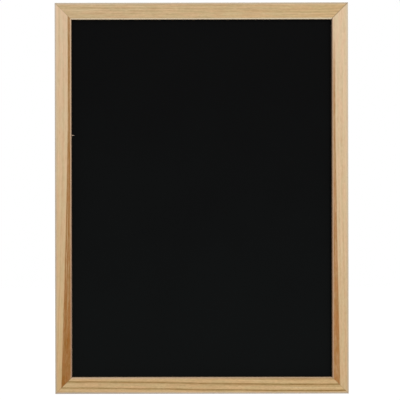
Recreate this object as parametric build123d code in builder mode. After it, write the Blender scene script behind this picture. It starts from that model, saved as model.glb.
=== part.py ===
from build123d import *
import os
from math import acos, asin, cos, degrees, radians, sin, sqrt, tan

# Framed magnetic board, 30 x 40 cm: a mitred pine moulding round a black steel sheet.
# Lengths are millimetres. X runs across the board, Z is up, and the working side faces -Y.
# The origin is the centre of the wall plane, on which the two bumpers rest.

# Whole board
board_width = 300.0
board_height = 400.0

# Section of the moulding
rail_face = 17.0
rail_depth = 15.0
rabbet_width = 5.5
rabbet_depth = 10.0
sight_bevel = 1.2
front_round = 0.9
back_bevel = 0.6

# Sheet and backing, which lie in the rabbet
sheet_thickness = 0.5
sheet_corner_radius = 1.5
backing_thickness = 3.0
panel_clearance = 1.0

# V nails, two to a mitre, pressed in from the back
v_nail_leg = 5.0
v_nail_thickness = 0.6
v_nail_height = 10.0
v_nail_sink = 0.3
v_nail_inset = 2.5
v_nail_pitch = 4.0

# Flat points, driven into the rabbet's wall behind the backing
point_length = 14.0
point_embed = 7.0
point_width = 7.0
point_taper = 2.5
point_tip_width = 2.0
point_thickness = 0.4
point_end_gap = 92.5
rail_point_gap = 66.0

# Hanger strap: a strip folded in two, with an eye at the fold
strap_width = 7.0
strap_thickness = 0.8
strap_layer_gap = 0.2
strap_length = 18.0
strap_end_radius = 2.4
hanger_drop = 60.0
hanger_shift = 0.45

# Hanger ring: a D of wire whose two ends meet inside the eye. The wire's round section has
# this many sides.
ring_wire_diameter = 1.6
ring_wire_sides = 16
ring_side_clearance = 0.5
ring_screw_gap = 1.0
ring_corner_radius = 1.2
ring_fit = 0.08
ring_end_gap = 0.3
ring_rest_clearance = 0.3

# Hanger screw
screw_end_margin = 4.0
screw_head_diameter = 5.6
screw_head_height = 1.9
screw_head_rim = 0.5
screw_shank_diameter = 3.0
screw_length = 11.0
screw_point_length = 3.5
screw_clearance = 0.05
strap_hole_clearance = 0.2
recess_length = 3.0
recess_width = 0.8
recess_depth = 1.1

# Rubber bumpers at the foot of the stiles
bumper_diameter = 8.0
bumper_height = 4.5
bumper_draft = 5.0
bumper_chamfer = 0.8
bumper_rise = 22.0

# How far a cutting shape runs past what it cuts
overrun = 1.0

# Places that follow from these sizes
half_width = board_width / 2
half_height = board_height / 2
back_width = rail_face - rabbet_width
back_y = -bumper_height
lip_y = back_y - rabbet_depth
backing_y = lip_y + sheet_thickness
points_y = backing_y + backing_thickness
panel_width = board_width - 2 * (back_width + panel_clearance)
panel_height = board_height - 2 * (back_width + panel_clearance)
forward = Vector(0, -1, 0)

# Each rail: the direction from its outer edge inwards, that edge's distance from the centre,
# and the rail's length
rails = {
    "bottom_rail": (Vector(0, 0, 1), half_height, board_width),
    "top_rail": (Vector(0, 0, -1), half_height, board_width),
    "left_stile": (Vector(1, 0, 0), half_width, board_height),
    "right_stile": (Vector(-1, 0, 0), half_width, board_height),
}
long_point_place = panel_height / 2 - point_end_gap
short_point_place = panel_width / 2 - rail_point_gap
point_places = {
    "bottom_rail": (-short_point_place, short_point_place),
    "top_rail": (-short_point_place, short_point_place),
    "left_stile": (-long_point_place, 0, long_point_place),
    "right_stile": (-long_point_place, 0, long_point_place),
}

# The mitres, as the signs of X and Z towards each corner, and the two sides that carry hangers
corners = {
    "top_left": (-1, 1),
    "top_right": (1, 1),
    "bottom_left": (-1, -1),
    "bottom_right": (1, -1),
}
sides = {"left": -1, "right": 1}

# The rails' back faces, as a plane that faces forward with X and Z as its own axes
back_plane = Plane(origin=(0, back_y, 0), x_dir=(1, 0, 0), z_dir=forward)


def section_plane(inward, reach):
    """Plane across a rail: x inwards from its outer edge, y forwards from its back face."""
    origin = Vector(0, back_y, 0) - inward * reach
    return Plane(origin=origin, x_dir=inward, z_dir=inward.cross(forward))


def points_plane(inward, reach):
    """Plane of a rail's points: x inwards from its outer edge, y along the rail."""
    origin = Vector(0, points_y + point_thickness, 0) - inward * reach
    return Plane(origin=origin, x_dir=inward, z_dir=forward)


def v_nail_outline(x_sign, z_sign, inset):
    """Bent strip seen from the back: its bend lies on the mitre, with a leg in each rail."""
    tip = inset + v_nail_leg
    inner = inset + v_nail_thickness
    outline = [(inset, inset), (tip, inset), (tip, inner), (inner, inner), (inner, tip), (inset, tip)]
    return [(x_sign * (half_width - a), z_sign * (half_height - b)) for a, b in outline]


def point_outline():
    """Flat point: a strip with a tapered tip that goes into the wood."""
    tip = back_width - point_embed
    shoulder = tip + point_taper
    tail = tip + point_length
    half = point_width / 2
    half_tip = point_tip_width / 2
    lower_side = [(tip, -half_tip), (shoulder, -half), (tail, -half)]
    upper_side = [(tail, half), (shoulder, half), (tip, half_tip)]
    return lower_side + upper_side


v_nail_insets = (v_nail_inset, v_nail_inset + v_nail_pitch)

# Hanger places. The eye touches the stile's back, and its axis is the ring's hinge.
ring_radius = ring_wire_diameter / 2
eye_mid_radius = ring_radius + ring_fit + strap_thickness / 2
eye_y = back_y + eye_mid_radius + strap_thickness / 2
eye_z = half_height - hanger_drop
eye_x = half_width - back_width / 2 - hanger_shift
strap_stack = 2 * strap_thickness + strap_layer_gap
screw_z = eye_z - strap_length + screw_end_margin
bumper_x = half_width - back_width / 2
bumper_z = bumper_rise - half_height
bumper_radius = bumper_diameter / 2
bumper_face_radius = bumper_radius - bumper_height * tan(radians(bumper_draft))

# The screw's domed head is a cap of this radius on a short rim
head_radius = screw_head_diameter / 2
head_dome = screw_head_height - screw_head_rim
head_dome_radius = (head_radius**2 + head_dome**2) / (2 * head_dome)

# The strip leaves the eye with a reverse bend that brings it down on its first layer
outer_layer_y = strap_stack - strap_thickness / 2
eye_centre_y = eye_y - back_y
bend_turn = degrees(acos((outer_layer_y + eye_mid_radius - eye_centre_y) / (2 * eye_mid_radius)))

# The hanging ring ends short of the screw's head, and leans back just enough to clear the
# strap where it crosses its edges
ring_reach = strap_length - screw_end_margin - head_radius - ring_screw_gap - ring_radius
ring_half_width = strap_width / 2 + ring_side_clearance + ring_radius
ring_arm = ring_reach - ring_half_width
ring_crossing = ring_arm + sqrt(ring_half_width**2 - (strap_width / 2) ** 2)
ring_rise = strap_stack + ring_rest_clearance + ring_radius - eye_centre_y
ring_lean = degrees(asin(ring_rise / ring_crossing))

os.makedirs("parts", exist_ok=True)

# Rails and stiles: one section, cut to length at the mitres, with slots for its fixings
for name, (inward, reach, length) in rails.items():
    section = section_plane(inward, reach)
    along = section.z_dir
    with BuildPart() as rail:
        with BuildSketch(section):
            with BuildLine():
                Polyline(
                    (0, 0),
                    (back_width, 0),
                    (back_width, rabbet_depth),
                    (rail_face, rabbet_depth),
                    (rail_face, rail_depth),
                    (0, rail_depth),
                    close=True,
                )
            make_face()
            front_corners = vertices().group_by(Axis.Y)[-1].sort_by(Axis.X)
            back_corners = vertices().group_by(Axis.Y)[0].sort_by(Axis.X)
            chamfer(front_corners[-1], length=sight_bevel)
            fillet(front_corners[0], radius=front_round)
            chamfer(back_corners[0], length=back_bevel)
        extrude(amount=length / 2 + overrun, both=True)
        for end in (-1, 1):
            corner = section.origin + along * (end * length / 2)
            split(bisect_by=Plane(origin=corner, z_dir=along * -end - inward), keep=Keep.TOP)
        with BuildSketch(back_plane):
            for x_sign, z_sign in corners.values():
                for inset in v_nail_insets:
                    Polygon(*v_nail_outline(x_sign, z_sign, inset), align=None)
        extrude(amount=v_nail_sink + v_nail_height, mode=Mode.SUBTRACT)
        with BuildSketch(points_plane(inward, reach)):
            for place in point_places[name]:
                with Locations((0, place)):
                    Polygon(*point_outline(), align=None)
        extrude(amount=point_thickness, mode=Mode.SUBTRACT)
        if name.endswith("stile"):
            with BuildSketch(back_plane):
                for sign in sides.values():
                    with Locations((sign * eye_x, screw_z)):
                        Circle(screw_shank_diameter / 2 + screw_clearance)
            extrude(amount=screw_length, mode=Mode.SUBTRACT)
    rail.part.label = name
    export_step(rail.part, f"parts/{name}.step")

# Steel sheet, whose front face lies against the lips of the moulding
with BuildPart() as steel_sheet:
    with BuildSketch(Plane(origin=(0, backing_y, 0), x_dir=(1, 0, 0), z_dir=forward)):
        RectangleRounded(panel_width, panel_height, sheet_corner_radius)
    extrude(amount=sheet_thickness)
steel_sheet.part.label = "steel_sheet"
export_step(steel_sheet.part, "parts/steel_sheet.step")

# Backing board, the same size, held against the sheet by the points
with BuildPart() as backing_board:
    with BuildSketch(Plane(origin=(0, points_y, 0), x_dir=(1, 0, 0), z_dir=forward)):
        Rectangle(panel_width, panel_height)
    extrude(amount=backing_thickness)
backing_board.part.label = "backing_board"
export_step(backing_board.part, "parts/backing_board.step")

# V nails, a pair in each mitre
for name, (x_sign, z_sign) in corners.items():
    with BuildPart() as v_nails:
        with BuildSketch(back_plane.offset(v_nail_sink)):
            for inset in v_nail_insets:
                Polygon(*v_nail_outline(x_sign, z_sign, inset), align=None)
        extrude(amount=v_nail_height)
    v_nails.part.label = f"{name}_v_nails"
    export_step(v_nails.part, f"parts/{name}_v_nails.step")

# Points, in a row along each rail and stile
for name, (inward, reach, length) in rails.items():
    with BuildPart() as points:
        with BuildSketch(points_plane(inward, reach)):
            for place in point_places[name]:
                with Locations((0, place)):
                    Polygon(*point_outline(), align=None)
        extrude(amount=point_thickness)
    points.part.label = f"{name}_points"
    export_step(points.part, f"parts/{name}_points.step")

# Hangers: a strap, its ring and its screw on each stile
for side, sign in sides.items():
    hanger_x = sign * eye_x
    with BuildPart() as strap:
        with BuildSketch(Plane(origin=(hanger_x, back_y, eye_z), x_dir=(0, 1, 0), z_dir=(1, 0, 0))):
            with BuildLine():
                first_layer = Line((strap_thickness / 2, -strap_length), (strap_thickness / 2, 0))
                eye = JernArc(first_layer @ 1, first_layer % 1, eye_mid_radius, -180 - bend_turn)
                bend = JernArc(eye @ 1, eye % 1, eye_mid_radius, bend_turn)
                Line(bend @ 1, (outer_layer_y, -strap_length))
            trace(line_width=strap_thickness)
        extrude(amount=strap_width / 2, both=True)
        free_end_corners = strap.edges().filter_by(Axis.Y).group_by(Axis.Z)[0]
        fillet(free_end_corners, radius=strap_end_radius)
        with BuildSketch(back_plane):
            with Locations((hanger_x, screw_z)):
                Circle(screw_shank_diameter / 2 + strap_hole_clearance)
        extrude(amount=-strap_stack - overrun, mode=Mode.SUBTRACT)
    strap.part.label = f"{side}_hanger_strap"
    export_step(strap.part, f"parts/{side}_hanger_strap.step")

    lean = radians(ring_lean)
    ring_plane = Plane(origin=(hanger_x, eye_y, eye_z), x_dir=(1, 0, 0), z_dir=(0, -cos(lean), -sin(lean)))
    with BuildPart() as ring:
        with BuildLine(ring_plane):
            bar = Line((ring_end_gap / 2, 0), (ring_half_width - ring_corner_radius, 0))
            corner_bend = JernArc(bar @ 1, bar % 1, ring_corner_radius, -90)
            arm = Line(corner_bend @ 1, (ring_half_width, -ring_arm))
            bow = JernArc(arm @ 1, arm % 1, ring_half_width, -180)
            far_arm = Line(bow @ 1, (-ring_half_width, -ring_corner_radius))
            far_bend = JernArc(far_arm @ 1, far_arm % 1, ring_corner_radius, -90)
            Line(far_bend @ 1, (-ring_end_gap / 2, 0))
        with BuildSketch(Plane(origin=bar @ 0, z_dir=bar % 0)):
            RegularPolygon(ring_radius, ring_wire_sides)
        sweep()
    ring.part.label = f"{side}_hanger_ring"
    export_step(ring.part, f"parts/{side}_hanger_ring.step")

    screw_seat = Plane(origin=(hanger_x, back_y + strap_stack, screw_z), x_dir=(1, 0, 0), z_dir=(0, 0, 1))
    with BuildPart() as screw:
        with BuildSketch(screw_seat):
            with BuildLine():
                Polyline(
                    (0, screw_head_height),
                    (0, -screw_length),
                    (screw_shank_diameter / 2, screw_point_length - screw_length),
                    (screw_shank_diameter / 2, 0),
                    (head_radius, 0),
                    (head_radius, screw_head_rim),
                )
                RadiusArc((head_radius, screw_head_rim), (0, screw_head_height), -head_dome_radius)
            make_face()
        revolve(axis=Axis(screw_seat.origin, (0, 1, 0)))
        with BuildSketch(back_plane.offset(-strap_stack - screw_head_height)):
            with Locations((hanger_x, screw_z)):
                Rectangle(recess_length, recess_width)
                Rectangle(recess_width, recess_length)
        extrude(amount=recess_depth, mode=Mode.SUBTRACT)
    screw.part.label = f"{side}_hanger_screw"
    export_step(screw.part, f"parts/{side}_hanger_screw.step")

    bumper_seat = Plane(origin=(sign * bumper_x, back_y, bumper_z), x_dir=(1, 0, 0), z_dir=(0, 0, 1))
    with BuildPart() as bumper:
        with BuildSketch(bumper_seat):
            with BuildLine():
                Polyline(
                    (0, 0),
                    (bumper_radius, 0),
                    (bumper_face_radius, bumper_height),
                    (0, bumper_height),
                    close=True,
                )
            make_face()
            chamfer(vertices().group_by(Axis.Y)[-1].sort_by(Axis.X)[-1], length=bumper_chamfer)
        revolve(axis=Axis(bumper_seat.origin, (0, 1, 0)))
    bumper.part.label = f"{side}_bumper"
    export_step(bumper.part, f"parts/{side}_bumper.step")

print("ring hinge at", round(eye_x, 3), round(eye_y, 3), round(eye_z, 3), "lean", round(ring_lean, 2))
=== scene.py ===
import math
from dataclasses import dataclass

import bmesh
import bpy
from mathutils import Matrix, Vector


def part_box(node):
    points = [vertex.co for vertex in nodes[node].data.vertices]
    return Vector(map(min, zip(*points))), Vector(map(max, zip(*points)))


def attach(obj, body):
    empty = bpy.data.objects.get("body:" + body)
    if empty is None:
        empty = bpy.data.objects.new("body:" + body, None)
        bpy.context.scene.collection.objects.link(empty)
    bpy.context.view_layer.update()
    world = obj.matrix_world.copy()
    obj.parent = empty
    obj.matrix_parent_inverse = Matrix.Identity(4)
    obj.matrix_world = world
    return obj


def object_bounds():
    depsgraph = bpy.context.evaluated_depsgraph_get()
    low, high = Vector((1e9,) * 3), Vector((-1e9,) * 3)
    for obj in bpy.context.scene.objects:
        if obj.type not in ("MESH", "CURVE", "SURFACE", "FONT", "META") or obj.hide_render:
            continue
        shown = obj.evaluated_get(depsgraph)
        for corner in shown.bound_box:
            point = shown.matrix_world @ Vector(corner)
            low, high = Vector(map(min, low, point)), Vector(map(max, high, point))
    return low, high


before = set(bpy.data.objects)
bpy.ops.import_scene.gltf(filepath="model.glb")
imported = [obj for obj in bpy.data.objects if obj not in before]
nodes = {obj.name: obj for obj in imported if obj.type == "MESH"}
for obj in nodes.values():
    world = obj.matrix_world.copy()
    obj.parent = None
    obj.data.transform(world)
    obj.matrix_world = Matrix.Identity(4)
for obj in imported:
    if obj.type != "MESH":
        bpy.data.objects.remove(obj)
cad_low, cad_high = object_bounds()

# Lengths are metres, as in the frame, unless a name or a comment says millimetres. A noise's scale
# is its cells to the metre. It has none where its place is given in cells already.
MM = 0.001

# Places read from the frame
FRONT_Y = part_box("top_rail")[0].y
SHEET_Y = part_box("steel_sheet")[0].y
LEFT_X = cad_low.x
RIGHT_X = cad_high.x
BOTTOM_Z = cad_low.z
TOP_Z = cad_high.z
MIDDLE_X = (LEFT_X + RIGHT_X) / 2
MIDDLE_Z = (BOTTOM_Z + TOP_Z) / 2
BOARD_WIDTH = RIGHT_X - LEFT_X
BOARD_HEIGHT = TOP_Z - BOTTOM_Z
RAIL_FACE_MM = (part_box("left_stile")[1].x - LEFT_X) / MM

# Where the photograph has the board, in pixels of its 400 x 400 frame
IMAGE_PIXELS = 400
BOARD_CENTRE_PIXELS = (201.7, 198.2)
BOARD_WIDTH_PIXELS = 293.9
BOARD_HEIGHT_PIXELS = 390.8
BOARD_TILT_DEGREES = 0.11
PIXELS_PER_METRE = (BOARD_WIDTH_PIXELS / BOARD_WIDTH + BOARD_HEIGHT_PIXELS / BOARD_HEIGHT) / 2

WHITE = (1.0, 1.0, 1.0, 1.0)
NOISE_MIDDLE = 0.5


def srgb(red, green, blue):
    """An 8-bit display colour as the linear RGBA that shaders take."""
    channels = []
    for value in (red, green, blue):
        share = value / 255
        channels.append(share / 12.92 if share <= 0.04045 else ((share + 0.055) / 1.055) ** 2.4)
    return (*channels, 1.0)


class Graph:
    """Builds the nodes of a new material, or of a given tree. Inputs are numbers, colours or
    sockets."""

    def __init__(self, name=None, tree=None):
        self.tree = tree
        if tree is None:
            self.material = bpy.data.materials.new(name)
            self.material.use_nodes = True
            self.tree = self.material.node_tree
            self.tree.nodes.clear()

    def add(self, kind, **settings):
        node = self.tree.nodes.new(kind)
        for key, value in settings.items():
            setattr(node, key, value)
        return node

    def feed(self, socket, value):
        if isinstance(value, bpy.types.NodeSocket):
            self.tree.links.new(value, socket)
        elif value is not None:
            socket.default_value = value

    def math(self, operation, first, second=None):
        node = self.add("ShaderNodeMath", operation=operation)
        for socket, value in zip(node.inputs, (first, second)):
            self.feed(socket, value)
        return node.outputs[0]

    def plus(self, first, second):
        return self.math("ADD", first, second)

    def minus(self, first, second):
        return self.math("SUBTRACT", first, second)

    def times(self, first, second):
        return self.math("MULTIPLY", first, second)

    def between(self, factor, first, last):
        """The number first where the factor is 0, last where it is 1, and evenly between."""
        return self.plus(self.times(factor, last - first), first)

    def swing(self, noise, amount):
        """A noise that swings about 0 instead of its middle, times the amount."""
        return self.times(self.minus(noise, NOISE_MIDDLE), amount)

    def step(self, value, start, stop):
        """0 before start, 1 past stop and smooth between. Start may be the larger."""
        node = self.add("ShaderNodeMapRange", interpolation_type="SMOOTHSTEP", clamp=True)
        ends = (start, stop, 0.0, 1.0) if start < stop else (stop, start, 1.0, 0.0)
        self.feed(node.inputs[0], value)
        for socket, end in zip(node.inputs[1:5], ends):
            socket.default_value = end
        return node.outputs[0]

    def past(self, value, edge, softness):
        """0 before the edge and 1 past it, soft on both sides of it."""
        return self.step(value, edge - softness, edge + softness)

    def vector(self, x, y, z):
        node = self.add("ShaderNodeCombineXYZ")
        for socket, value in zip(node.inputs, (x, y, z)):
            self.feed(socket, value)
        return node.outputs[0]

    def place(self):
        return self.add("ShaderNodeTexCoord").outputs["Object"]

    def xyz(self, place):
        node = self.add("ShaderNodeSeparateXYZ")
        self.feed(node.inputs[0], place)
        return node.outputs[:3]

    def noise(self, place, scale=1.0, detail=2.0, roughness=0.5, distortion=0.0):
        node = self.add("ShaderNodeTexNoise")
        self.feed(node.inputs["Vector"], place)
        node.inputs["Scale"].default_value = scale
        node.inputs["Detail"].default_value = detail
        node.inputs["Roughness"].default_value = roughness
        node.inputs["Distortion"].default_value = distortion
        return node.outputs["Fac"]

    def cells(self, place):
        """Distance from the middle of the nearest cell, for a place given in cells."""
        node = self.add("ShaderNodeTexVoronoi")
        self.feed(node.inputs["Vector"], place)
        node.inputs["Scale"].default_value = 1.0
        return node.outputs["Distance"]

    def mix(self, factor, first, second, blend="MIX"):
        """Two colours mixed. Their sockets on the node come after those for numbers and vectors."""
        node = self.add("ShaderNodeMix", data_type="RGBA", blend_type=blend, clamp_factor=True)
        self.feed(node.inputs[0], factor)
        self.feed(node.inputs[6], first)
        self.feed(node.inputs[7], second)
        return node.outputs[2]

    def marked(self, colour, noise, ends, strength, mark):
        """The colour, overlaid with the mark's where the noise nears the second of its ends."""
        return self.mix(self.times(self.step(noise, *ends), strength), colour, mark)

    def tinted(self, colour, noise, strength, ends, tints):
        """The colour, multiplied by a tint that goes from one to the other as the noise does."""
        tint = self.mix(self.step(noise, *ends), *tints)
        return self.mix(strength, colour, tint, "MULTIPLY")

    def bump(self, height, strength, distance):
        node = self.add("ShaderNodeBump")
        node.inputs["Strength"].default_value = strength
        node.inputs["Distance"].default_value = distance
        self.feed(node.inputs["Height"], height)
        return node.outputs["Normal"]

    def surface(self, colour, roughness, normal, metallic=0.0, specular=0.5):
        shader = self.add("ShaderNodeBsdfPrincipled")
        self.feed(shader.inputs["Base Color"], colour)
        self.feed(shader.inputs["Roughness"], roughness)
        shader.inputs["Metallic"].default_value = metallic
        shader.inputs["Specular IOR Level"].default_value = specular
        self.feed(shader.inputs["Normal"], normal)
        output = self.add("ShaderNodeOutputMaterial")
        self.feed(output.inputs["Surface"], shader.outputs[0])
        return self.material


# Camera: square on, and moved so that the board is where the photograph has it
CAMERA_DISTANCE = 2.4
SENSOR_WIDTH_MM = 36.0


def row_height(row):
    """Height on the board of a pixel row of the photograph, at the board's middle."""
    return MIDDLE_Z + (BOARD_CENTRE_PIXELS[1] - row) / PIXELS_PER_METRE


def make_camera():
    data = bpy.data.cameras.new("camera")
    data.sensor_width = SENSOR_WIDTH_MM
    data.lens = PIXELS_PER_METRE * CAMERA_DISTANCE * SENSOR_WIDTH_MM / IMAGE_PIXELS
    camera = bpy.data.objects.new("camera", data)
    bpy.context.scene.collection.objects.link(camera)
    across = (IMAGE_PIXELS / 2 - BOARD_CENTRE_PIXELS[0]) / PIXELS_PER_METRE
    up = (BOARD_CENTRE_PIXELS[1] - IMAGE_PIXELS / 2) / PIXELS_PER_METRE
    middle = Vector((MIDDLE_X, FRONT_Y, MIDDLE_Z))
    place = Matrix.Translation(middle + Vector((across, -CAMERA_DISTANCE, up)))
    level = Matrix.Rotation(math.radians(90), 4, "X")
    roll = Matrix.Rotation(math.radians(-BOARD_TILT_DEGREES), 4, "Z")
    camera.matrix_world = place @ level @ roll
    bpy.context.scene.camera = camera


# Light: an even white surround, a soft key from the front right and a softer one from behind
WORLD_STRENGTH = 0.64
BACKDROP_STRENGTH = 1.0
SUNS = {
    "key": dict(direction=(-0.45, 0.8, -0.45), spread_degrees=25.0, strength=1.08),
    "back_key": dict(direction=(0.5, -0.8, -0.75), spread_degrees=35.0, strength=1.1),
}


def whiteness(graph):
    """1 for rays that should see the plain white background, else 0."""
    path = graph.add("ShaderNodeLightPath")
    seen = graph.math("MAXIMUM", path.outputs["Is Camera Ray"], path.outputs["Is Glossy Ray"])
    return graph.math("MAXIMUM", seen, path.outputs["Is Transmission Ray"])


def white_light(graph, strength):
    node = graph.add("ShaderNodeBackground")
    node.inputs["Color"].default_value = WHITE
    node.inputs["Strength"].default_value = strength
    return node.outputs[0]


def make_world():
    world = bpy.data.worlds.new("surround")
    bpy.context.scene.world = world
    world.use_nodes = True
    world.node_tree.nodes.clear()
    graph = Graph(tree=world.node_tree)
    mix = graph.add("ShaderNodeMixShader")
    graph.feed(mix.inputs[0], whiteness(graph))
    graph.feed(mix.inputs[1], white_light(graph, WORLD_STRENGTH))
    graph.feed(mix.inputs[2], white_light(graph, BACKDROP_STRENGTH))
    output = graph.add("ShaderNodeOutputWorld")
    graph.feed(output.inputs["Surface"], mix.outputs[0])


def make_sun(name, direction, spread_degrees, strength):
    """Sun that shines along direction; its spread makes the shadows soft."""
    data = bpy.data.lights.new(name, "SUN")
    data.angle = math.radians(spread_degrees)
    data.energy = strength
    lamp = bpy.data.objects.new(name, data)
    bpy.context.scene.collection.objects.link(lamp)
    lamp.rotation_euler = Vector(direction).to_track_quat("-Z", "Y").to_euler()


# Floor: pale, a little below the hanging board, white to the camera but for shadows
FLOOR_DROP = 0.12
FLOOR_HALF_SIZE = 6.0
FLOOR_GREYS = ((0.79, 0.79, 0.79, 1), (0.81, 0.81, 0.81, 1))
FLOOR_GLOW = 0.24


def floor_paint():
    """Matt, with a glow for the rays that should see the plain white background."""
    paint = Graph("floor_paint")
    mottle = paint.noise(paint.place(), scale=3.0, detail=3.0)
    diffuse = paint.add("ShaderNodeBsdfDiffuse")
    paint.feed(diffuse.inputs["Color"], paint.mix(mottle, *FLOOR_GREYS))
    glow = paint.add("ShaderNodeEmission")
    glow.inputs["Color"].default_value = WHITE
    paint.feed(glow.inputs["Strength"], paint.times(whiteness(paint), FLOOR_GLOW))
    both = paint.add("ShaderNodeAddShader")
    paint.feed(both.inputs[0], diffuse.outputs[0])
    paint.feed(both.inputs[1], glow.outputs[0])
    output = paint.add("ShaderNodeOutputMaterial")
    paint.feed(output.inputs["Surface"], both.outputs[0])
    return paint.material


def make_floor():
    mesh = bpy.data.meshes.new("floor")
    shape = bmesh.new()
    corner_signs = ((-1, -1), (1, -1), (1, 1), (-1, 1))
    level = BOTTOM_Z - FLOOR_DROP
    corners = [(x * FLOOR_HALF_SIZE, y * FLOOR_HALF_SIZE, level) for x, y in corner_signs]
    shape.faces.new([shape.verts.new(corner) for corner in corners])
    shape.to_mesh(mesh)
    shape.free()
    mesh.materials.append(floor_paint())
    floor = bpy.data.objects.new("floor", mesh)
    bpy.context.scene.collection.objects.link(floor)


# Pine. Each rail is one stick: across runs inwards from its outer edge, along runs from its left
# or top end and depth runs back from its front face, all in millimetres. A growth ring's place
# is given past a line that wanders along the stick, and the rings lean as they go deeper.
@dataclass
class RailLook:
    """The wood of one rail, with places and widths in millimetres. A pair holds the values at the
    stick's start and its end. A pair of shares says where along the stick a change starts and
    where it is complete."""

    seed: float  # the stick's place in the noise
    pale: tuple  # colours of the wood between the dark rings
    late: tuple  # colours of the dark rings
    turn_shares: tuple  # where the line wanders from one place across the stick to the other
    line: tuple  # the line's two places across the stick
    lean: float  # how far outwards the rings go for each millimetre of depth
    late_bands: tuple  # dark rings past the line: low, high, softness and strength
    late_shares: tuple  # where the dark rings come up
    patchy: float  # how unevenly dark the dark rings are
    blotchy: float  # strength of the blotches
    fleck: float  # strength of the short flecks
    thread: float  # strength of the fine threads
    streak: float  # strength of the fibres
    bevel: tuple  # colours of the paler planed bevel, also painted light: paler or darker per rail and along the stick for how light falls on it
    planed: float  # how far from the inner edge the planed wood starts
    lip_shade: tuple  # widths of the painted shade line along the bevel's lower lip, where it meets the sheet
    arris_shade: tuple  # colours of the painted shade on the rounded outer arris
    joints: tuple  # strengths of the hairline in the two mitres


PINE_RAILS = {
    "left_stile": RailLook(
        seed=3.1,
        pale=(srgb(217, 190, 157), srgb(200, 168, 122)),
        late=(srgb(152, 106, 50), srgb(143, 87, 18)),
        turn_shares=(0.2, 1.4),
        line=(13.3, 3.0),
        lean=0.55,
        late_bands=(
            (0.75, 2.6, 1.4, 0.9),
            (0.75, 9.0, 1.5, 0.84),
            (-4.9, -4.3, 0.9, 0.14),
            (-9.0, -8.2, 1.0, 0.12),
            (16.0, 17.4, 1.2, 0.8),
        ),
        late_shares=(-0.3, 0.15),
        patchy=0.4,
        blotchy=0.5,
        fleck=0.1,
        thread=0.3,
        streak=0.6,
        bevel=(srgb(222, 194, 164), srgb(179, 141, 118)),
        planed=1.2,
        lip_shade=(0.35, 0.35),
        arris_shade=(srgb(200, 188, 172), srgb(176, 162, 144)),
        joints=(0.35, 0.4),
    ),
    "right_stile": RailLook(
        seed=8.7,
        pale=(srgb(222, 195, 161), srgb(206, 176, 134)),
        late=(srgb(174, 132, 88), srgb(164, 108, 50)),
        turn_shares=(0.2, 1.45),
        line=(13.0, 6.0),
        lean=0.45,
        late_bands=(
            (0.9, 9.5, 1.3, 0.87),
            (-2.7, -2.2, 0.8, 0.12),
            (-6.4, -5.6, 1.0, 0.08),
            (14.5, 16.0, 1.2, 0.8),
        ),
        late_shares=(0.05, 0.22),
        patchy=0.8,
        blotchy=0.75,
        fleck=0.5,
        thread=0.3,
        streak=0.6,
        bevel=(srgb(208, 179, 151), srgb(192, 156, 126)),
        planed=1.75,
        lip_shade=(0.87, 0.43),
        arris_shade=(srgb(208, 196, 176), srgb(180, 166, 146)),
        joints=(0.85, 0.3),
    ),
    "top_rail": RailLook(
        seed=14.3,
        pale=(srgb(201, 174, 135), srgb(204, 173, 127)),
        late=(srgb(160, 125, 82), srgb(160, 125, 78)),
        turn_shares=(0.0, 1.0),
        line=(0.0, 1.4),
        lean=0.7,
        late_bands=(
            (1.8, 2.1, 0.7, 0.3),
            (5.3, 5.6, 0.7, 0.34),
            (7.9, 8.1, 0.6, 0.26),
            (11.0, 11.3, 0.8, 0.24),
            (14.6, 14.9, 0.6, 0.3),
            (21.0, 22.0, 1.0, 0.7),
        ),
        late_shares=(-0.2, -0.1),
        patchy=0.8,
        blotchy=0.75,
        fleck=0.7,
        thread=0.85,
        streak=1.0,
        # Painted highlight: this bevel faces down and is painted much paler than the others
        bevel=(srgb(240, 219, 187), srgb(254, 238, 208)),
        planed=1.2,
        lip_shade=(0.0, 0.0),
        arris_shade=(srgb(197, 185, 167), srgb(192, 178, 158)),
        joints=(0.3, 0.85),
    ),
    "bottom_rail": RailLook(
        seed=21.9,
        pale=(srgb(201, 169, 125), srgb(206, 173, 125)),
        late=(srgb(160, 128, 80), srgb(147, 115, 64)),
        turn_shares=(0.0, 0.85),
        line=(6.2, 3.3),
        lean=-0.4,
        late_bands=(
            (-0.2, 0.15, 1.2, 0.92),
            (6.1, 6.7, 1.3, 0.9),
            (3.9, 5.2, 0.9, 0.26),
            (-5.4, -4.4, 1.0, 0.4),
            (12.6, 13.4, 3.0, 0.6),
            (-12.0, -11.0, 1.2, 0.8),
        ),
        late_shares=(-0.2, -0.1),
        patchy=0.8,
        blotchy=0.75,
        fleck=0.9,
        thread=0.5,
        streak=0.6,
        bevel=(srgb(200, 174, 150), srgb(198, 168, 138)),
        planed=1.2,
        lip_shade=(0.1, 0.25),
        arris_shade=(srgb(183, 180, 180), srgb(178, 170, 160)),
        joints=(0.35, 0.3),
    ),
}

# The grain's noises, with their cells to the millimetre: across the stick and into its depth, and
# along it
GRAIN_NOISES = {
    "sway": dict(cells_across=0.04, cells_along=0.012, detail=1.0, roughness=0.5),
    "ripple": dict(cells_across=0.07, cells_along=0.035, detail=2.0, roughness=0.5),
    "faint_rings": dict(cells_across=0.42, cells_along=0.006, detail=3.0, roughness=0.55),
    "threads": dict(cells_across=0.95, cells_along=0.035, detail=2.0, roughness=0.6),
    "fibres": dict(cells_across=2.4, cells_along=0.09, detail=4.0, roughness=0.7),
    "pores": dict(cells_across=9.0, cells_along=0.16, detail=2.0, roughness=0.6),
    "patches": dict(cells_across=0.16, cells_along=0.035, detail=2.0, roughness=0.5),
    "blotches": dict(cells_across=0.4, cells_along=0.14, detail=3.0, roughness=0.65),
    "blush": dict(cells_across=0.25, cells_along=0.045, detail=1.0, roughness=0.5),
    "flecks": dict(cells_across=1.1, cells_along=0.3, detail=2.0, roughness=0.6),
}

# How far the rings stray from the line
SWAY_MM = 1.3
RIPPLE_MM = 0.8

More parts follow.
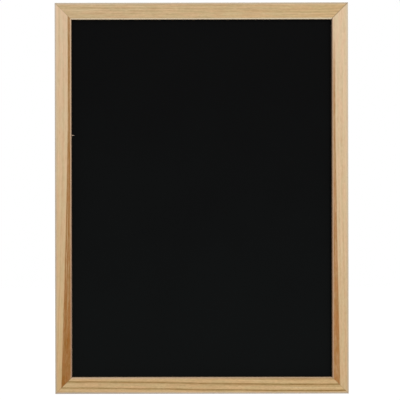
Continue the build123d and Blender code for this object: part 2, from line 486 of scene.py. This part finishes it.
# Marks and tints on every stick. Ends are the noise's values where one starts to show and where it
# is complete.
FAINT_RING_STRENGTH = 0.55
PORE_STRENGTH = 0.65
GLOW_FIBRE_SHARE = 0.4
GLOW = dict(ends=(0.66, 0.5), strength=0.3, mark=srgb(228, 202, 166))
BLUSH_SEED_STEP = 5.0
BLUSH_STRENGTH = 1.0
BLUSH = dict(ends=(0.35, 0.65), tints=((0.98, 1.01, 0.99, 1), (1.03, 0.99, 0.98, 1)))
THREADS = dict(ends=(0.3, 0.7), tints=((0.88, 0.87, 0.83, 1), (1.13, 1.14, 1.16, 1)))
FLECKS = dict(ends=(0.3, 0.7), tints=((0.92, 0.92, 0.92, 1), (1.08, 1.08, 1.08, 1)))
CANAL_CELLS_ACROSS = 1.7
CANAL_CELLS_ALONG = 0.14
CANALS = dict(ends=(0.1, 0.03), strength=0.4, mark=srgb(146, 108, 70))
PINE_ROUGHNESS = (0.55, 0.75)
PINE_RELIEF = 0.12 * MM
LATEWOOD_SINK_SHARE = 0.5

# Marks at the edges of the stick: the paler planed bevel with painted light, painted shade along
# the bevel's lower lip and painted shade on the rounded outer arris. A pair of places is where one
# starts to show and where it is complete, and a pair of shares is its strength at the lowest and
# the highest of a mottling noise.
BEVEL_MM = 1.2
BEVEL_DEPTHS_MM = (BEVEL_MM + 0.3, BEVEL_MM - 0.1)
PLANED_SOFTNESS_MM = 0.2
PLANED_MOTTLE_SHARES = (0.8, 1.0)
# Painted shade along the bevel's lower lip, where it meets the sheet
LIP_SHADE_SOFTNESS_MM = 0.12
LIP_SHADE_STRENGTH = 0.92
LIP_SHADE_COLOUR = srgb(42, 26, 16)
# Painted shade on the rounded outer arris
ARRIS_WIDTHS_MM = (2.6, 0.3)
ARRIS_DEPTHS_MM = (1.5, 0.4)
ARRIS_MOTTLE_SHARES = (0.5, 1.0)
MITRE_WIDTHS_MM = (0.6, 0.1)
MITRE_SHUT_ENDS = (0.62, 0.38)
MITRE_SHUT_SHARE = 0.65
MITRE_COLOUR = srgb(88, 58, 36)


def rail_axes(paint, name):
    """Sockets for a rail's across, along and depth in millimetres, and its length."""

    def distance_mm(start, stop):
        return paint.times(paint.minus(stop, start), 1 / MM)

    x, y, z = paint.xyz(paint.place())
    from_left = distance_mm(LEFT_X, x)
    from_right = distance_mm(x, RIGHT_X)
    from_top = distance_mm(z, TOP_Z)
    from_bottom = distance_mm(BOTTOM_Z, z)
    depth = distance_mm(FRONT_Y, y)
    across, along = {
        "left_stile": (from_left, from_top),
        "right_stile": (from_right, from_top),
        "top_rail": (from_top, from_left),
        "bottom_rail": (from_bottom, from_left),
    }[name]
    length = (BOARD_HEIGHT if name.endswith("stile") else BOARD_WIDTH) / MM
    return across, along, depth, length


def grain(paint, place, kind):
    """One of the grain's noises at a place in a stick: its across, depth, along and seed."""
    across, depth, along, seed = place
    settings = GRAIN_NOISES[kind]
    x = paint.times(across, settings["cells_across"])
    y = paint.times(depth, settings["cells_across"])
    z = paint.plus(paint.times(along, settings["cells_along"]), seed)
    place = paint.vector(x, y, z)
    return paint.noise(place, detail=settings["detail"], roughness=settings["roughness"])


def ring_place(paint, stick, share, look):
    """How far past the wandering line the growth ring at a place in the stick lies."""
    across, depth = stick[:2]
    turned = paint.step(share, *look.turn_shares)
    line = paint.between(turned, *look.line)
    sway = paint.swing(grain(paint, stick, "sway"), SWAY_MM)
    ripple = paint.swing(grain(paint, stick, "ripple"), RIPPLE_MM)
    ring = paint.plus(paint.minus(across, line), paint.times(depth, look.lean))
    return paint.plus(ring, paint.plus(sway, ripple))


def latewood(paint, rings, share, look):
    """How dark the dark rings are, with patches along them."""
    ring = rings[0]
    dark = 0.0
    for low, high, soft, strength in look.late_bands:
        band = paint.times(paint.step(ring, low - soft, low), paint.step(ring, high + soft, high))
        dark = paint.math("MAXIMUM", paint.times(band, strength), dark)
    dark = paint.times(dark, paint.step(share, *look.late_shares))
    patches = paint.swing(grain(paint, rings, "patches"), look.patchy)
    return paint.times(dark, paint.plus(patches, 1.0))


def canals(paint, rings):
    """Distance from the nearest resin canal, which is a short dash along its ring."""
    ring, depth, along = rings[:3]
    x = paint.times(ring, CANAL_CELLS_ACROSS)
    y = paint.times(depth, CANAL_CELLS_ACROSS)
    z = paint.times(along, CANAL_CELLS_ALONG)
    return paint.cells(paint.vector(x, y, z))


def with_edges(paint, colour, stick, share, look):
    """The colour, with the paler planed bevel and its painted light, a painted shade line along the
    bevel's lower lip and painted shade on the rounded outer arris, mottled by a noise.
    """
    across, depth = stick[:2]
    edge_mottle = paint.noise(paint.place(), scale=300.0, detail=3.0)
    near_front = paint.step(depth, *BEVEL_DEPTHS_MM)
    # Paler planed wood on the bevel, its colours per rail and along the stick also painted light
    # for how light falls on each bevel
    planed = paint.past(across, RAIL_FACE_MM - look.planed, PLANED_SOFTNESS_MM)
    bevel_share = paint.times(paint.times(planed, near_front), paint.between(edge_mottle, *PLANED_MOTTLE_SHARES))
    colour = paint.mix(bevel_share, colour, paint.mix(share, *look.bevel))
    # Painted shade: a dark line along the bevel's lower lip where it meets the sheet, which also
    # widens the black opening where the rail is narrower
    into_lip = paint.plus(paint.minus(across, RAIL_FACE_MM), paint.between(share, *look.lip_shade))
    lip_shade_share = paint.times(paint.past(into_lip, 0.0, LIP_SHADE_SOFTNESS_MM), near_front)
    colour = paint.mix(paint.times(lip_shade_share, LIP_SHADE_STRENGTH), colour, LIP_SHADE_COLOUR)
    # Painted shade on the rounded outer arris: greyer than the face, mottled by a noise
    arris = paint.times(paint.step(across, *ARRIS_WIDTHS_MM), paint.step(depth, *ARRIS_DEPTHS_MM))
    arris_shade_share = paint.times(arris, paint.between(edge_mottle, *ARRIS_MOTTLE_SHARES))
    return paint.mix(arris_shade_share, colour, paint.mix(share, *look.arris_shade))


def with_mitres(paint, colour, stick, length, look):
    """The colour, with a hairline of shadow in each mitre, fainter where it is shut."""
    across, _, along, _ = stick
    shut = paint.step(paint.noise(paint.place(), scale=140.0, detail=1.0), *MITRE_SHUT_ENDS)
    shown = paint.between(shut, 1.0, MITRE_SHUT_SHARE)
    for from_end, strength in zip((along, paint.minus(length, along)), look.joints):
        away = paint.math("ABSOLUTE", paint.minus(across, from_end))
        gap = paint.times(paint.step(away, *MITRE_WIDTHS_MM), shown)
        colour = paint.mix(paint.times(gap, strength), colour, MITRE_COLOUR)
    return colour


def pine(name, look):
    """The wood of a rail. Its grain runs through the stick, so all its sides agree."""
    paint = Graph(f"pine_{name}")
    across, along, depth, length = rail_axes(paint, name)
    share = paint.times(along, 1 / length)
    stick = (across, depth, along, look.seed)
    rings = (ring_place(paint, stick, share, look), depth, along, look.seed)

    # Pale earlywood, clouded by faint rings, under the dark latewood
    faint_rings = grain(paint, rings, "faint_rings")
    fibres = grain(paint, rings, "fibres")
    pores = grain(paint, rings, "pores")
    dark = latewood(paint, rings, share, look)
    dark = paint.plus(dark, paint.swing(grain(paint, stick, "blotches"), look.blotchy))
    dark = paint.plus(dark, paint.swing(faint_rings, FAINT_RING_STRENGTH))
    dark = paint.plus(dark, paint.swing(fibres, look.streak))
    dark = paint.plus(dark, paint.swing(pores, PORE_STRENGTH))
    colour = paint.mix(dark, paint.mix(share, *look.pale), paint.mix(share, *look.late))
    glowing = paint.plus(faint_rings, paint.times(fibres, GLOW_FIBRE_SHARE))
    colour = paint.marked(colour, glowing, **GLOW)

    # Over it blush, threads, flecks and resin canals, then what was done to the stick, with painted
    #     light and shade at its edges
    blush = grain(paint, (across, depth, along, look.seed + BLUSH_SEED_STEP), "blush")
    colour = paint.tinted(colour, blush, BLUSH_STRENGTH, **BLUSH)
    colour = paint.tinted(colour, grain(paint, rings, "threads"), look.thread, **THREADS)
    colour = paint.tinted(colour, grain(paint, stick, "flecks"), look.fleck, **FLECKS)
    colour = paint.marked(colour, canals(paint, rings), **CANALS)
    colour = with_edges(paint, colour, stick, share, look)
    colour = with_mitres(paint, colour, stick, length, look)

    roughness = paint.between(fibres, *PINE_ROUGHNESS)
    height = paint.minus(paint.plus(fibres, pores), paint.times(dark, LATEWOOD_SINK_SHARE))
    relief = paint.bump(height, strength=0.4, distance=PINE_RELIEF)
    return paint.surface(colour, roughness, relief, specular=0.2)


def clothe(node, material):
    mesh = nodes[node].data
    mesh.materials.clear()
    mesh.materials.append(material)


def dress_rails():
    for name, look in PINE_RAILS.items():
        clothe(name, pine(name, look))


# Sheet. The dust starts to show and is complete at these shares of the board's height, measured
# from its middle, and its clouds drift up and down by this much.
COAT_COLOURS = ((0.0020, 0.0021, 0.0022, 1), (0.0032, 0.0038, 0.0038, 1))
COAT_ROUGHNESS = (0.62, 0.7)
COAT_RELIEF = 0.08 * MM
DUST_SHARES = (0.4, -0.4)
DUST_DRIFT = 0.25


def dress_sheet():
    """Matt black coat with faint orange peel, and a little dust towards its foot."""
    paint = Graph("black_coat")
    place = paint.place()
    cloud = paint.noise(place, scale=9.0, detail=4.0, roughness=0.6)
    peel = paint.noise(place, scale=900.0)
    height = paint.plus(paint.xyz(place)[2], paint.swing(cloud, DUST_DRIFT))
    dust_heights = [MIDDLE_Z + share * BOARD_HEIGHT for share in DUST_SHARES]
    colour = paint.mix(paint.step(height, *dust_heights), *COAT_COLOURS)
    roughness = paint.between(cloud, *COAT_ROUGHNESS)
    relief = paint.bump(peel, strength=0.25, distance=COAT_RELIEF)
    clothe("steel_sheet", paint.surface(colour, roughness, relief, specular=0.04))


# Splinter: a loose fibre of the left stile that lies on the sheet, at this row of the photograph
SPLINTER_ROW_PIXELS = 134.9
SPLINTER_LENGTH = 2.8 * MM
SPLINTER_HALF_WIDTH = 0.52 * MM
SPLINTER_HALF_HEIGHT = 0.3 * MM
SPLINTER_DROOP = 0.2 * MM
SPLINTER_TAPER_SHARE = 0.96
SPLINTER_TAPER_POWER = 0.9
SPLINTER_STATIONS = 9
SPLINTER_SIDES = 8
SPLINTER_COLOURS = (srgb(160, 138, 118), srgb(208, 188, 168))
SPLINTER_ROUGHNESS = (0.6, 0.8)
SPLINTER_RELIEF = 0.08 * MM


def splinter_mesh():
    """Tapered sliver from the stile's inner edge across the sheet, a little bowed."""
    inner_edge = LEFT_X + RAIL_FACE_MM * MM
    start = Vector((inner_edge, SHEET_Y - SPLINTER_HALF_HEIGHT, row_height(SPLINTER_ROW_PIXELS)))
    shape = bmesh.new()
    rings = []
    for station in range(SPLINTER_STATIONS):
        share = station / (SPLINTER_STATIONS - 1)
        thickness = math.cos(math.pi / 2 * share * SPLINTER_TAPER_SHARE) ** SPLINTER_TAPER_POWER
        droop = SPLINTER_DROOP * math.sin(math.pi * share)
        middle = start + Vector((share * SPLINTER_LENGTH, 0, -droop))
        ring = []
        for side in range(SPLINTER_SIDES):
            turn = 2 * math.pi * side / SPLINTER_SIDES
            y = math.sin(turn) * SPLINTER_HALF_HEIGHT
            z = math.cos(turn) * SPLINTER_HALF_WIDTH
            ring.append(shape.verts.new(middle + Vector((0, y, z)) * thickness))
        rings.append(ring)
    for ring, following in zip(rings, rings[1:]):
        for side in range(SPLINTER_SIDES):
            after = (side + 1) % SPLINTER_SIDES
            shape.faces.new((ring[side], following[side], following[after], ring[after]))
    shape.faces.new(rings[0])
    shape.faces.new(reversed(rings[-1]))
    bmesh.ops.recalc_face_normals(shape, faces=shape.faces)
    mesh = bpy.data.meshes.new("splinter")
    shape.to_mesh(mesh)
    shape.free()
    mesh.polygons.foreach_set("use_smooth", [True] * len(mesh.polygons))
    return mesh


def splinter_wood():
    paint = Graph("splinter_wood")
    fibres = paint.noise(paint.place(), scale=2600.0, detail=3.0)
    colour = paint.mix(fibres, *SPLINTER_COLOURS)
    roughness = paint.between(fibres, *SPLINTER_ROUGHNESS)
    relief = paint.bump(fibres, strength=0.4, distance=SPLINTER_RELIEF)
    return paint.surface(colour, roughness, relief, specular=0.2)


def make_splinter():
    mesh = splinter_mesh()
    mesh.materials.append(splinter_wood())
    splinter = bpy.data.objects.new("splinter", mesh)
    bpy.context.scene.collection.objects.link(splinter)
    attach(splinter, "board")


# Hardboard: the slopes at which its fibres lie, the noise cells to the metre along and across a
# fibre, and its marks, with ends as for the pine
FIBRE_SLOPES_DEGREES = (12.0, 47.0, 85.0, 131.0, 158.0)
FIBRE_CELLS_ALONG = 420.0
FIBRE_CELLS_ACROSS = 2100.0
DEGREES_PER_SEED = 7.0
HARDBOARD_COLOURS = (srgb(118, 82, 54), srgb(146, 106, 72))
FELT = dict(ends=(0.35, 0.7), strength=0.35, mark=srgb(166, 126, 90))
DARK_FIBRES = dict(ends=(0.34, 0.24), strength=0.6, mark=srgb(88, 58, 38))
PALE_FIBRES = dict(ends=(0.66, 0.76), strength=0.6, mark=srgb(186, 148, 110))
HARDBOARD_ROUGHNESS = (0.62, 0.82)
HARDBOARD_RELIEF = 0.15 * MM


def pressed_fibres(paint, slope_degrees):
    """Noise drawn out into short fibres that all lie at one slope, each slope with its own seed."""
    turned = paint.add("ShaderNodeVectorRotate", rotation_type="Y_AXIS")
    paint.feed(turned.inputs["Vector"], paint.place())
    turned.inputs["Angle"].default_value = math.radians(slope_degrees)
    x, _, z = paint.xyz(turned.outputs[0])
    along = paint.times(x, FIBRE_CELLS_ALONG)
    across = paint.times(z, FIBRE_CELLS_ACROSS)
    return paint.noise(paint.vector(along, slope_degrees / DEGREES_PER_SEED, across))


def dress_backing():
    """Brown hardboard: a felt of short pressed fibres, some paler and some darker."""
    paint = Graph("hardboard")
    place = paint.place()
    cloud = paint.noise(place, scale=26.0, detail=5.0, roughness=0.65)
    felt = paint.noise(place, scale=700.0, detail=3.0, roughness=0.6)
    highest = 0.0
    lowest = 1.0
    for slope in FIBRE_SLOPES_DEGREES:
        fibres = pressed_fibres(paint, slope)
        highest = paint.math("MAXIMUM", fibres, highest)
        lowest = paint.math("MINIMUM", fibres, lowest)
    colour = paint.mix(cloud, *HARDBOARD_COLOURS)
    colour = paint.marked(colour, felt, **FELT)
    colour = paint.marked(colour, lowest, **DARK_FIBRES)
    colour = paint.marked(colour, highest, **PALE_FIBRES)
    roughness = paint.between(felt, *HARDBOARD_ROUGHNESS)
    relief = paint.bump(paint.plus(felt, highest), strength=0.4, distance=HARDBOARD_RELIEF)
    clothe("backing_board", paint.surface(colour, roughness, relief, specular=0.25))


# Metals, with the scale of their clouds, and the ends of the names of the nodes made of each
METALS = {
    "rolled_steel": dict(
        colours=(srgb(150, 148, 142), srgb(186, 184, 178)), roughness=0.32, scale=260.0
    ),
    "zinc_plate": dict(
        colours=(srgb(186, 188, 188), srgb(214, 214, 210)), roughness=0.24, scale=190.0
    ),
    "zinc_wire": dict(
        colours=(srgb(190, 192, 192), srgb(220, 220, 216)), roughness=0.18, scale=240.0
    ),
    "zinc_screw": dict(
        colours=(srgb(184, 182, 172), srgb(214, 212, 202)), roughness=0.22, scale=300.0
    ),
}
METAL_NODE_ENDINGS = {
    "rolled_steel": ("v_nails", "points"),
    "zinc_plate": ("strap",),
    "zinc_wire": ("ring",),
    "zinc_screw": ("screw",),
}
SCRATCHES_PER_CLOUD = 9
SCRATCH_ROUGHNESS = 0.2
SCRATCH_RELIEF = 0.03 * MM


def metal(name, colours, roughness, scale):
    """Plated or rolled steel: cloudy colour, fine scratches and uneven gloss."""
    paint = Graph(name)
    place = paint.place()
    cloud = paint.noise(place, scale, detail=3.0, roughness=0.6)
    scratch = paint.noise(place, scale * SCRATCHES_PER_CLOUD, distortion=1.5)
    colour = paint.mix(cloud, *colours)
    uneven = paint.between(scratch, roughness, roughness + SCRATCH_ROUGHNESS)
    relief = paint.bump(scratch, strength=0.12, distance=SCRATCH_RELIEF)
    return paint.surface(colour, uneven, relief, metallic=1.0)


def dress_fixings():
    for name, look in METALS.items():
        material = metal(name, **look)
        for node in nodes:
            if node.endswith(METAL_NODE_ENDINGS[name]):
                clothe(node, material)


# Bumpers
RUBBER_COLOURS = (srgb(52, 52, 54), srgb(78, 78, 80))
RUBBER_ROUGHNESS = (0.6, 0.75)
RUBBER_RELIEF = 0.06 * MM


def dress_bumpers():
    """Dark rubber, unevenly dusty."""
    paint = Graph("bumper_rubber")
    dust = paint.noise(paint.place(), scale=500.0, detail=3.0)
    colour = paint.mix(dust, *RUBBER_COLOURS)
    roughness = paint.between(dust, *RUBBER_ROUGHNESS)
    relief = paint.bump(dust, strength=0.3, distance=RUBBER_RELIEF)
    rubber = paint.surface(colour, roughness, relief, specular=0.3)
    for node in ("left_bumper", "right_bumper"):
        clothe(node, rubber)


make_camera()
make_world()
for sun, light in SUNS.items():
    make_sun(sun, **light)
make_floor()

dress_rails()
dress_sheet()
dress_backing()
dress_fixings()
dress_bumpers()
make_splinter()

scene = bpy.context.scene
scene.view_settings.view_transform = "Standard"
